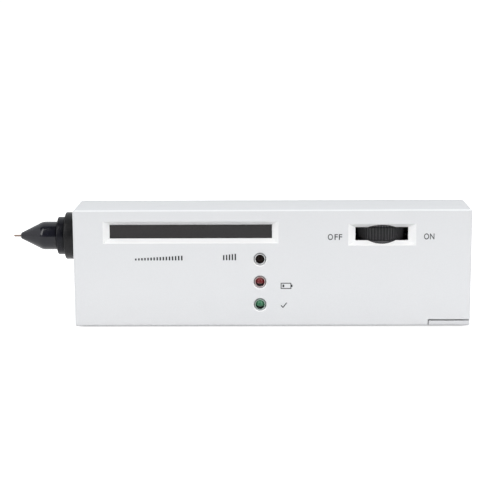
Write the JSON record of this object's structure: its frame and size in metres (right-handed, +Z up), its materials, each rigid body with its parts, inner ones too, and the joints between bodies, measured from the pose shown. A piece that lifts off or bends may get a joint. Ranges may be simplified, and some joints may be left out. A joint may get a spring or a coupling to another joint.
{
  "type": "diamond tester",
  "caption": "Hand-held thermal diamond tester: light grey box with a sprung needle in a black stepped nose, a dark bar window, status lamps and a ridged thumbwheel.",
  "frame": {"origin": "middle of the whole object's footprint, needle included, on the surface it stands on", "axes": "+X along the housing from the needle to the battery door, -Y out of the front face, +Z up"},
  "size_m": [0.1566, 0.0234, 0.04],
  "materials": {
    "housing": "satin light grey paint over moulded plastic",
    "black_plastic": "satin black moulding",
    "wheel_black": "dull black, ridged",
    "smoked_lens": "smooth, nearly black",
    "copper": "polished copper",
    "steel": "plated steel",
    "brass": "turned brass",
    "board": "very dark green solder mask",
    "white_plastic": "white moulding",
    "chip_black": "dull black epoxy",
    "trimmer_blue": "blue moulding",
    "dark_lamp": "clear dark epoxy",
    "red_lamp": "tinted epoxy, unlit",
    "green_lamp": "tinted epoxy, unlit",
    "bar_lamp": "clear epoxy, unlit",
    "red_lead": "red insulation",
    "black_lead": "black insulation",
    "battery_skin": "dark printed metal sleeve, no print"
  },
  "bodies": {
    "housing": {"front_case": "housing", "rear_cover": "housing", "window_lens": "smoked_lens", "light_baffle": "white_plastic", "bar_led_01": "bar_lamp", "bar_led_02": "bar_lamp", "bar_led_03": "bar_lamp", "bar_led_04": "bar_lamp", "bar_led_05": "bar_lamp", "bar_led_06": "bar_lamp", "bar_led_07": "bar_lamp", "bar_led_08": "bar_lamp", "bar_led_09": "bar_lamp", "bar_led_10": "bar_lamp", "bar_led_11": "bar_lamp", "bar_led_12": "bar_lamp", "status_led_dark": "dark_lamp", "status_led_red": "red_lamp", "status_led_green": "green_lamp", "led_spacer_dark": "white_plastic", "led_spacer_red": "white_plastic", "led_spacer_green": "white_plastic", "circuit_board": "board", "driver_chip": "chip_black", "sensor_chip": "chip_black", "trimmer": "trimmer_blue", "capacitor": "battery_skin", "buzzer": "chip_black", "pot_body": "black_plastic", "battery_can": "battery_skin", "battery_terminal_plus": "steel", "battery_terminal_minus": "steel", "battery_snap": "black_plastic", "battery_lead_red": "red_lead", "battery_lead_black": "black_lead", "nose_base": "black_plastic", "nose_ring": "black_plastic", "nose_cap": "black_plastic", "nose_nut": "black_plastic", "probe_spring": "steel", "probe_retainer": "white_plastic", "probe_lead_a": "black_lead", "probe_lead_b": "black_lead", "case_screw_1": "steel", "case_screw_2": "steel", "case_screw_3": "steel", "case_screw_4": "steel", "board_screw_1": "steel", "board_screw_2": "steel"},
    "wheel": {"thumbwheel": "wheel_black", "wheel_spindle": "steel", "wheel_screw": "steel"},
    "door": {"battery_door": "housing"},
    "probe": {"probe_needle": "copper", "probe_plunger": "brass", "probe_heater": "white_plastic"}
  },
  "joints": [
    {"name": "wheel_turn", "type": "hinge", "parent": "housing", "child": "wheel", "pos_m": [0.048, -0.00265, 0.03155], "axis": [0, 0, 1], "range_deg": [0, 270]},
    {"name": "door_slide", "type": "slide", "parent": "housing", "child": "door", "axis": [0, 0, -1], "range_m": [0, 0.03]},
    {"name": "probe_press", "type": "slide", "parent": "housing", "child": "probe", "axis": [1, 0, 0], "range_m": [0, 0.0015], "stiffness_N_per_m": 300, "deforming": ["probe_spring"]}
  ]
}
